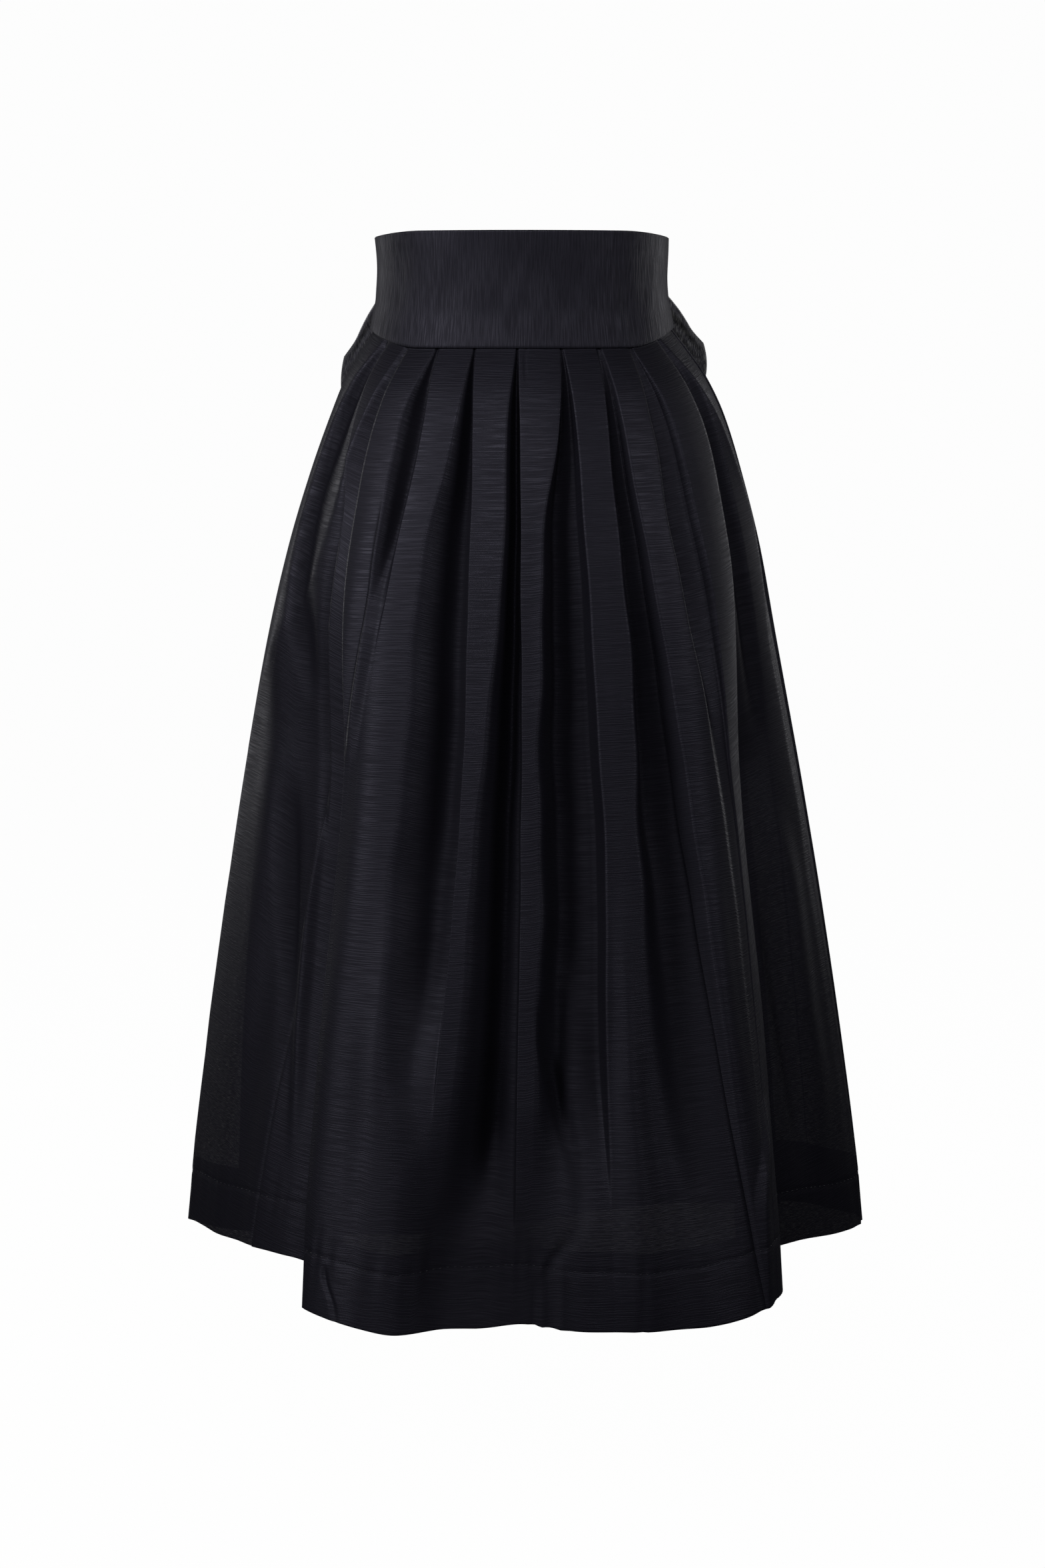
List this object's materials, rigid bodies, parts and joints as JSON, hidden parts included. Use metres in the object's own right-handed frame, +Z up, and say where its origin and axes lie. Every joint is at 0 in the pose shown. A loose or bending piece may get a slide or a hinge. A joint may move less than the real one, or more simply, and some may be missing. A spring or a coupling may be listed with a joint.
{
  "type": "pleated wrap skirt",
  "caption": "Midi wrap skirt of dark taffeta with a wide firm waistband, soft pleats, a turned-up hem and a sash tied in a bow at the back; worn form, hollow.",
  "frame": {"origin": "centre of the waist, on the body's axis, half way up the waistband, where a wearer holds the skirt", "axes": "+Z up along the body, -Y to the front, +X to the right of a viewer who looks at the front"},
  "size_m": [0.5972, 0.398, 0.912],
  "materials": {
    "panel_cloth": "satin",
    "waistband_cloth": "satin",
    "sash_cloth": "satin"
  },
  "bodies": {
    "root": {"waistband": "waistband_cloth", "front_panel": "panel_cloth", "back_right_panel": "panel_cloth", "back_left_panel": "panel_cloth", "tie_strap_left": "sash_cloth", "tie_strap_right": "sash_cloth", "tie_knot": "sash_cloth", "bow_loop_left": "sash_cloth", "bow_loop_right": "sash_cloth", "tie_tail_left": "sash_cloth", "tie_tail_right": "sash_cloth"}
  },
  "joints": []
}
